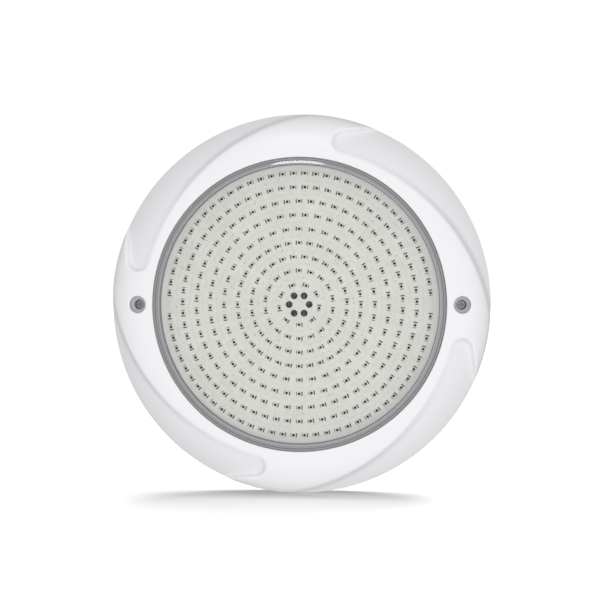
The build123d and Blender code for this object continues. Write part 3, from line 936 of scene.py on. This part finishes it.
def add_ribs(shape, target):
    """Thin ribs behind the crown, from the screw seat to the skirt."""
    for number in range(RIB_COUNT):
        angle = radians(RIB_FIRST_ANGLE + 360 / RIB_COUNT * number)
        sides = []
        for sign in (-1, 1):
            profile = []
            for step in range(RIB_STEPS + 1):
                radius = RIB_INNER + (RIB_OUTER - RIB_INNER) * step / RIB_STEPS
                roof = float(shape.back(np.float64(radius), np.float64(angle)))
                profile.append((radius, min(roof + RIB_OVERLAP, RIB_TOP)))
            profile.append((RIB_OUTER, RIB_REAR))
            profile.append((RIB_INNER + 0.5, RIB_REAR + 8.0))
            corner = []
            for radius, height in profile:
                across, flat, up = spot(radius, angle, height)
                shift = sign * RIB_HALF_THICKNESS * MM
                corner.append((across - sin(angle) * shift, flat, up + cos(angle) * shift))
            sides.append([target.verts.new(point) for point in corner])
        size = len(sides[0])
        target.faces.new(sides[0])
        target.faces.new(list(reversed(sides[1])))
        for step in range(size):
            after = (step + 1) % size
            target.faces.new([sides[0][after], sides[0][step], sides[1][step], sides[1][after]])


class POOL_OT_bezel(bpy.types.Operator):
    """Build the white bezel with its four swirling scoops."""

    bl_idname = "pool.bezel"
    bl_label = "Bezel"

    def execute(self, context):
        shape = BezelShape(context.scene.pool_bezel)
        target = bmesh.new()
        add_crown(shape, target)
        add_strips(shape, target)
        open_posts(target)
        add_screw_posts(shape, target)
        add_ribs(shape, target)
        piece = finish_mesh("bezel_shell", target, bezel_plastic(), 50.0)
        across, drop, up = vertex_places(piece).T
        # The scoop share drives both a rougher finish and a painted shade inside the scoops.
        share = shape.scoop_share(across, up)
        share[-drop < SCOOP_PAINT_FROM] = 0.0
        store_number(piece.data, "scoop", share.astype(np.float32))
        front = shape.front(np.hypot(across, up), np.arctan2(up, across))
        gap = np.hypot(np.abs(across) - FIXING_OFFSET, up)
        # Painted shade in the screw counterbores: greyer with depth below the front surface.
        well = np.clip((front + drop) / HOLE_SHADE_DEPTH, 0, 1) * (gap < COUNTERBORE + 0.01)
        store_number(piece.data, "well", well.astype(np.float32))
        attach(piece, LAMP)
        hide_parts("bezel")
        return {"FINISHED"}


LENS_STEP = 3.6                    # from the flange's edge in to the front part's wall
LENS_BORE_STEP = 6.0
LENS_THICKNESS = 2.8
LENS_DOME = 0.4
LENS_DOME_STEPS = 12


class POOL_OT_lens(bpy.types.Operator):
    """Build the clear lens and the grey ring under its edge."""

    bl_idname = "pool.lens"
    bl_label = "Lens and ring"

    def execute(self, context):
        self.make_lens()
        self.make_ring()
        return {"FINISHED"}

    def make_lens(self):
        outer = LENS_FLANGE - LENS_STEP
        bore = LENS_FLANGE - LENS_BORE_STEP
        inside = LENS_FRONT - LENS_THICKNESS
        dome = [(0.0, LENS_FRONT)]
        for step in range(1, LENS_DOME_STEPS + 1):
            share = step / LENS_DOME_STEPS
            dome.append(((bore - 0.4) * share, LENS_FRONT - LENS_DOME * share**2))
        groove = bore + 0.6
        dome += [(groove - 0.2, LENS_FRONT - 0.75), (groove, LENS_FRONT - 1.6)]
        dome += [(groove + 0.25, LENS_FRONT - 0.55)]
        profile = dome + rounded(
            (outer, LENS_FRONT - 0.5), (groove + 0.3, LENS_FRONT - 0.5), (outer, LENS_FRONT - 2.2), 8
        )
        profile += [(outer, LIP_REAR), (LENS_FLANGE, LIP_REAR), (LENS_FLANGE, LENS_REAR)]
        profile += [(bore, LENS_REAR), (bore, inside - 0.8)]
        profile += [(bore - 0.8, inside), (0.0, inside)]
        target = bmesh.new()
        turn_profile(target, profile, 256)
        piece = finish_mesh("lens_cover", target, clear_lens(), 30.0)
        across, _, up = vertex_places(piece).T
        rim = np.clip((np.hypot(across, up) - bore + 0.41) * 50, 0, 1)
        store_number(piece.data, "rim", rim.astype(np.float32))
        piece.visible_shadow = False
        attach(piece, LAMP)
        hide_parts("lens")

    def make_ring(self):
        inner = RING_INNER
        target = bmesh.new()
        profile = [
            (inner, BOARD_FRONT),
            (inner, RING_FRONT - 0.25),
            (inner + 0.08, RING_FRONT - 0.08),
            (inner + 0.25, RING_FRONT),
            (inner + 0.5, RING_FRONT - 0.08),
            (RING_RIM - 0.15, RING_FRONT - 0.75),
            (RING_RIM, RING_FRONT - 0.95),
            (RING_RIM, BOARD_FRONT),
            (inner, BOARD_FRONT),
        ]
        turn_profile(target, profile, 256)
        piece = finish_mesh("reflector_ring", target, ring_plastic(), 30.0)
        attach(piece, LAMP)
        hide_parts("board_ring")


# ------------------------------------------------------------------ light board and chips
def chip_places(settings):
    """(radius, angle) of every chip, ring by ring."""
    places = []
    for ring, count in enumerate(RING_COUNTS):
        radius = settings.first_ring + ring * settings.ring_pitch
        places += [(radius, -pi / 2 + 2 * pi * step / count) for step in range(count)]
    radius = settings.first_ring + len(RING_COUNTS) * settings.ring_pitch
    for middle in (90.0, -90.0):
        first = middle - (settings.outer_half_count - 1) * settings.outer_pitch / 2
        for step in range(settings.outer_half_count):
            places.append((radius, radians(first + step * settings.outer_pitch)))
    return places


def points_object(name, places, height, turned_share, seed):
    """Loose points that carry the angle of what stands on them; a share is turned round."""
    mesh = bpy.data.meshes.new(name)
    mesh.from_pydata([spot(radius, angle, height) for radius, angle in places], [], [])
    turned = np.random.default_rng(seed).random(len(places)) < turned_share
    store_number(mesh, "bearing", np.array([angle for _, angle in places]) + pi * turned)
    return add_object(name, mesh)


def ring_tree(name):
    """Geometry nodes: one piece on every point, turned to its bearing, with a small jitter."""
    tree = bpy.data.node_groups.new(name, "GeometryNodeTree")
    face = tree.interface
    face.new_socket("Geometry", in_out="INPUT", socket_type="NodeSocketGeometry")
    sockets = {}
    for label, kind in (
        ("Piece", "NodeSocketObject"),
        ("Finish", "NodeSocketMaterial"),
        ("Turn jitter", "NodeSocketFloat"),
        ("Seed", "NodeSocketInt"),
    ):
        sockets[label] = face.new_socket(label, in_out="INPUT", socket_type=kind).identifier
    face.new_socket("Geometry", in_out="OUTPUT", socket_type="NodeSocketGeometry")

    def add(kind, inputs, settings=None):
        """Add a node, set it up and feed its inputs with values or other nodes' outputs."""
        made = tree.nodes.new(kind)
        for key, value in (settings or {}).items():
            setattr(made, key, value)
        for key, value in inputs.items():
            if isinstance(value, bpy.types.NodeSocket):
                tree.links.new(value, made.inputs[key])
            else:
                made.inputs[key].default_value = value
        return made.outputs

    plain = {"data_type": "FLOAT"}
    entry = add("NodeGroupInput", {})
    piece = add("GeometryNodeObjectInfo", {"Object": entry["Piece"]})
    bearing = add("GeometryNodeInputNamedAttribute", {"Name": "bearing"}, plain)
    least = add("ShaderNodeMath", {0: entry["Turn jitter"], 1: -1.0}, {"operation": "MULTIPLY"})
    limits = {2: least[0], 3: entry["Turn jitter"], "Seed": entry["Seed"]}
    jitter = add("FunctionNodeRandomValue", limits, plain)
    terms = {0: jitter[1], 1: bearing["Attribute"]}
    total = add("ShaderNodeMath", terms, {"operation": "SUBTRACT"})
    turn = add("ShaderNodeCombineXYZ", {"Y": total[0]})
    spread = add("GeometryNodeInstanceOnPoints", {
        "Points": entry["Geometry"], "Instance": piece["Geometry"], "Rotation": turn[0],
    })
    batch = add("FunctionNodeRandomValue", {"Seed": entry["Seed"]}, plain)
    kept = {"Name": "batch", "Geometry": spread[0], "Value": batch[1]}
    keep = add("GeometryNodeStoreNamedAttribute", kept, {"data_type": "FLOAT", "domain": "INSTANCE"})
    real = add("GeometryNodeRealizeInstances", {0: keep[0]})
    paint = add("GeometryNodeSetMaterial", {"Geometry": real[0], "Material": entry["Finish"]})
    add("NodeGroupOutput", {0: paint[0]})
    return tree, sockets


def spread_piece(name, places, height, shape, material, jitter=0.0, seed=0, turned_share=0.0):
    """Stand a small shape on every place and return one plain mesh object."""
    seedling = finish_mesh(name + "_one", shape, material, 30.0)
    points = points_object(name + "_points", places, height, turned_share, seed)
    tree, sockets = ring_tree(name + "_tree")
    modifier = points.modifiers.new("spread", "NODES")
    modifier.node_group = tree
    modifier[sockets["Piece"]] = seedling
    modifier[sockets["Finish"]] = material
    modifier[sockets["Turn jitter"]] = jitter
    modifier[sockets["Seed"]] = seed
    bpy.context.view_layer.update()
    settled = points.evaluated_get(bpy.context.evaluated_depsgraph_get())
    mesh = bpy.data.meshes.new_from_object(settled)
    mesh.name = name
    for leftover in (points, seedling):
        bpy.data.objects.remove(leftover)
    bpy.data.node_groups.remove(tree)
    if not len(mesh.polygons):
        raise RuntimeError(name + " came out empty")
    return add_object(name, mesh)


def block(shape, low, high, taper=0.0):
    """A box from low to high in (across, height, along), its top drawn in by taper."""
    corners = []
    for level, inset in ((low[1], 0.0), (high[1], taper)):
        for across, along in (
            (low[0] + inset, low[2] + inset),
            (high[0] - inset, low[2] + inset),
            (high[0] - inset, high[2] - inset),
            (low[0] + inset, high[2] - inset),
        ):
            corners.append(shape.verts.new((across * MM, -level * MM, along * MM)))
    for ring in ((0, 1, 2, 3), (7, 6, 5, 4), (0, 4, 5, 1), (1, 5, 6, 2), (2, 6, 7, 3), (3, 7, 4, 0)):
        shape.faces.new([corners[i] for i in ring])


def disc(shape, centre, radius, low, high, sides=10, taper=0.0):
    """A short round post, its top drawn in by taper."""
    turn_profile(
        shape, [(0.0, low), (radius, low), (radius - taper, high), (0.0, high)], sides, centre
    )


WINDOW_SIDES = 16
WINDOW_RADIUS = 1.12
CORNER_REACH = 1.42                # stretches a circle past its square, to be cut off straight


def chip_body_shape(settings, height):
    """A white package with a round window sunk into its top."""
    shape = bmesh.new()
    half = (settings.chip_width / 2, settings.chip_length / 2)
    angles = [2 * pi * (step + 0.5) / WINDOW_SIDES for step in range(WINDOW_SIDES)]
    rows = []
    for level, radius in ((height, WINDOW_RADIUS), (height - 0.22, WINDOW_RADIUS - 0.12)):
        rows.append([shape.verts.new(spot(radius, angle, level)) for angle in angles])
    squares = []
    for level, inset in ((height, 0.22), (height - 0.12, 0.08), (0.0, 0.0)):
        row = []
        for angle in angles:
            across = max(-1, min(1, CORNER_REACH * cos(angle))) * (half[0] - inset)
            along = max(-1, min(1, CORNER_REACH * sin(angle))) * (half[1] - inset)
            row.append(shape.verts.new((across * MM, -level * MM, along * MM)))
        squares.append(row)
    bridge(shape, [rows[1], rows[0]] + squares)
    shape.faces.new(list(reversed(rows[1])))
    shape.faces.new(squares[-1])
    return shape


def chip_dice_shape(height):
    """The grey floor of the window, the large dark die and the small one beside it."""
    shape = bmesh.new()
    disc(shape, (0.0, 0.0), 1.1, height - 0.3, height - WINDOW_DEPTH, 12)
    disc(shape, (0.0, -0.28), 0.95, height - 0.3, height - DIE_DEPTH, 10, 0.05)
    disc(shape, (0.1, 0.76), 0.47, height - 0.3, height - SMALL_DIE_DEPTH, 8, 0.05)
    return shape


def chip_solder_shape(settings):
    """Solder at both ends of a package."""
    shape = bmesh.new()
    half = (settings.chip_width / 2, settings.chip_length / 2)
    block(shape, (-half[0] - 0.1, 0.0, half[1]), (half[0] + 0.1, 0.34, half[1] + 0.8), 0.1)
    block(shape, (-half[0] + 0.1, 0.0, -half[1] - 0.42), (half[0] - 0.1, 0.3, -half[1]), 0.1)
    return shape


class POOL_OT_light_board(bpy.types.Operator):
    """Build the light board, its chips, vias and solder joints."""

    bl_idname = "pool.light_board"
    bl_label = "Light board"

    def execute(self, context):
        settings = context.scene.pool_board
        self.make_board()
        self.make_chips(settings)
        self.make_joints(settings)
        return {"FINISHED"}

    def make_board(self):
        target = bmesh.new()
        profile = [(0.0, BOARD_FRONT), (BOARD_RIM - 0.2, BOARD_FRONT), (BOARD_RIM, BOARD_FRONT - 0.2)]
        profile += [(BOARD_RIM, BOARD_REAR), (0.0, BOARD_REAR)]
        turn_profile(target, profile, 256)
        piece = finish_mesh("light_board", target, board_mask(), 30.0)
        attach(piece, LAMP)
        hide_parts("led_board")

    def make_chips(self, settings):
        places = chip_places(settings)
        height = CHIP_FRONT - BOARD_FRONT
        solder = tin_solder()
        pieces = {
            "chip_bodies": (chip_body_shape(settings, height), chip_body(), "led_package"),
            "chip_dice": (chip_dice_shape(height), chip_die(), "led_package"),
            "chip_solder": (chip_solder_shape(settings), solder, "solder"),
        }
        for name, (shape, material, slot) in pieces.items():
            turned_share = 0.3 if name == "chip_dice" else 0.0
            piece = spread_piece(
                name, places, BOARD_FRONT, shape, material, 0.03, settings.seed, turned_share
            )
            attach(piece, LAMP)
            if name == "chip_bodies":
                rings = len(RING_COUNTS) + 1
                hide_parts(*[f"led_ring_{ring + 1}" for ring in range(rings)])
            if name == "chip_dice":
                depth = CHIP_FRONT + vertex_places(piece)[:, 1]
                grey = np.interp(depth, (DIE_DEPTH, SMALL_DIE_DEPTH, WINDOW_DEPTH), (0.0, 0.3, 1.0))
                store_number(piece.data, "pale", grey.astype(np.float32))
        self.make_vias(settings, solder)

    def make_vias(self, settings, solder):
        draw = np.random.default_rng(settings.seed)
        places = []
        rings = len(RING_COUNTS)
        for _ in range(settings.via_count):
            ring = int(draw.integers(0, rings))
            radius = settings.first_ring + (ring + 0.5 + draw.uniform(-0.22, 0.22)) * settings.ring_pitch
            places.append((radius, draw.uniform(-pi, pi)))
        shape = bmesh.new()
        disc(shape, (0.0, 0.0), 0.3, 0.0, 0.05, 8, 0.05)
        piece = spread_piece("board_vias", places, BOARD_FRONT, shape, solder)
        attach(piece, LAMP)

    def make_joints(self, settings):
        places = [(settings.joint_circle, pi / 3 * step) for step in range(6)]
        shape = bmesh.new()
        profile = [(0.0, 0.0), (settings.joint_radius, 0.0), (settings.joint_radius, 0.08)]
        for step in range(1, 9):
            share = step / 8
            height = JOINT_HEIGHT * (1 - (1 - share) ** 2) * 0.82
            profile.append((settings.joint_radius * (1 - 0.72 * share), 0.08 + height))
        crater = JOINT_HEIGHT * 0.62
        profile += [(settings.joint_radius * 0.2, JOINT_HEIGHT * 0.85), (0.35, crater), (0.0, crater)]
        turn_profile(shape, profile, 28)
        piece = spread_piece("pin_joints", places, BOARD_FRONT, shape, tin_solder())
        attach(piece, LAMP)
        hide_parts("solder_joints")


class POOL_OT_finishes(bpy.types.Operator):
    """Paint the nodes that stay from the frame."""

    bl_idname = "pool.finishes"
    bl_label = "Finishes"

    def execute(self, context):
        paint_frame_nodes()
        return {"FINISHED"}


# ------------------------------------------------------------------ studio
def area_light(name, energy, size, place, aim, size_y=None):
    """A soft rectangular lamp that points at a place."""
    data = bpy.data.lights.new(name, "AREA")
    data.energy = energy
    data.size = size
    if size_y:
        data.shape = "RECTANGLE"
        data.size_y = size_y
    light = bpy.data.objects.new(name, data)
    light.location = place
    light.rotation_euler = (Vector(aim) - Vector(place)).to_track_quat("-Z", "Y").to_euler()
    bpy.context.scene.collection.objects.link(light)
    return light


SUN_ANGLE = radians(50)
SUN_ASIDE = -0.16
FLOOR_HALF = 6
GLOW = 0.47                        # strength of the world where the camera doesn't see it
BACKDROP = 1.02


class POOL_OT_stage(bpy.types.Operator):
    """Set up the floor, the soft lights and the camera."""

    bl_idname = "pool.stage"
    bl_label = "Stage"

    def execute(self, context):
        settings = context.scene.pool_stage
        context.scene.view_settings.view_transform = "Standard"
        self.make_world()
        self.make_lights(self.make_floor())
        self.make_camera(settings)
        return {"FINISHED"}

    def make_floor(self):
        paint = Paint("studio_floor")
        grain = paint.noise(60.0, 2.0)
        paint.surface(paint.blend(grain, (0.90, 0.90, 0.90), (0.92, 0.92, 0.92)), 0.8)
        shape = bmesh.new()
        level = -RIM * MM - 0.0005
        plan = ((-1, -1), (1, -1), (1, 1), (-1, 1))
        corners = [(x * FLOOR_HALF, y * FLOOR_HALF, level) for x, y in plan]
        shape.faces.new([shape.verts.new(corner) for corner in corners])
        mesh = bpy.data.meshes.new("studio_floor")
        shape.to_mesh(mesh)
        shape.free()
        floor = add_object("studio_floor", mesh, paint.material)
        floor.visible_diffuse = False
        floor.visible_glossy = False
        floor.visible_shadow = False
        return floor

    def make_world(self):
        """White behind the lamp, a dimmer even glow for what lights it."""
        world = bpy.data.worlds.new("studio")
        bpy.context.scene.world = world
        world.use_nodes = True
        tree = world.node_tree
        back = tree.nodes["Background"]
        back.inputs["Color"].default_value = (1.0, 1.0, 1.0, 1.0)
        path = tree.nodes.new("ShaderNodeLightPath")
        level = tree.nodes.new("ShaderNodeMapRange")
        level.inputs["To Min"].default_value = GLOW
        level.inputs["To Max"].default_value = BACKDROP
        tree.links.new(path.outputs["Is Camera Ray"], level.inputs["Value"])
        tree.links.new(level.outputs[0], back.inputs["Strength"])

    def make_lights(self, floor):
        middle = (0.0, -0.02, 0.0)
        dull_lights = (
            area_light("key_below", 3.35, 0.9, (0.25, -1.15, -0.85), middle, 0.5),
            area_light("fill_above", 2.35, 0.9, (0.1, -1.1, 0.95), middle, 0.5),
            area_light("fill_right", 2.75, 0.6, (1.1, -1.15, 0.0), middle, 0.9),
            area_light("fill_left", 2.25, 0.6, (-1.1, -1.15, 0.0), middle, 0.9),
            area_light("front", 5.2, 0.5, (0.0, -1.4, 0.0), middle),
        )
        all_but_floor = bpy.data.collections.new("all_but_floor")
        all_but_floor.objects.link(floor)
        all_but_floor.collection_objects[0].light_linking.link_state = "EXCLUDE"
        for light in dull_lights:
            light.visible_glossy = False
            light.light_linking.receiver_collection = all_but_floor
        streak = area_light("streak", 1.5, 0.3, (-0.07, -1.1, 0.95), middle, 0.5)
        streak.visible_diffuse = False
        only_floor = bpy.data.collections.new("floor_only")
        only_floor.objects.link(floor)
        for name, lean, energy in (("sun_behind", -0.3, 2.9), ("sun_ahead", 0.25, 0.85)):
            data = bpy.data.lights.new(name, "SUN")
            data.energy = energy
            data.angle = SUN_ANGLE
            sun = bpy.data.objects.new(name, data)
            sun.rotation_euler = Vector((SUN_ASIDE, lean, -1.0)).to_track_quat("-Z", "Y").to_euler()
            bpy.context.scene.collection.objects.link(sun)
            sun.light_linking.receiver_collection = only_floor

    def make_camera(self, settings):
        data = bpy.data.cameras.new("camera")
        camera = bpy.data.objects.new("camera", data)
        bpy.context.scene.collection.objects.link(camera)
        rim_plane = bpy.context.scene.pool_bezel.shoulder * MM
        aim = Vector((0.0, -rim_plane, settings.aim_above))
        turn = settings.azimuth
        away = Vector((sin(turn), -cos(turn), 0.0)) * cos(settings.elevation)
        away.z = sin(settings.elevation)
        camera.location = aim + away * settings.distance
        camera.rotation_euler = (-away).to_track_quat("-Z", "Y").to_euler()
        data.lens = data.sensor_width * settings.distance / settings.frame_width
        data.clip_start = 0.02
        bpy.context.scene.camera = camera


class POOL_PT_panel(bpy.types.Panel):
    """Sizes and build buttons."""

    bl_idname = "POOL_PT_panel"
    bl_label = "Pool light"
    bl_space_type = "VIEW_3D"
    bl_region_type = "UI"
    bl_category = "Pool Light"

    def draw(self, context):
        for group in (context.scene.pool_bezel, context.scene.pool_board, context.scene.pool_stage):
            box = self.layout.box()
            for key in group.__annotations__:
                box.prop(group, key)
        for operator in OPERATORS:
            self.layout.operator(operator.bl_idname)


OPERATORS = (
    POOL_OT_stage,
    POOL_OT_bezel,
    POOL_OT_lens,
    POOL_OT_light_board,
    POOL_OT_finishes,
)
CLASSES = (BezelSettings, BoardSettings, StageSettings, *OPERATORS, POOL_PT_panel)


def register():
    for group in CLASSES:
        bpy.utils.register_class(group)
    bpy.types.Scene.pool_bezel = bpy.props.PointerProperty(type=BezelSettings)
    bpy.types.Scene.pool_board = bpy.props.PointerProperty(type=BoardSettings)
    bpy.types.Scene.pool_stage = bpy.props.PointerProperty(type=StageSettings)


def unregister():
    for name in ("pool_bezel", "pool_board", "pool_stage"):
        delattr(bpy.types.Scene, name)
    for group in reversed(CLASSES):
        bpy.utils.unregister_class(group)


def main():
    """Build every piece."""
    register()
    for operator in OPERATORS:
        group, name = operator.bl_idname.split(".")
        getattr(getattr(bpy.ops, group), name)()


if __name__ == "__main__":
    main()
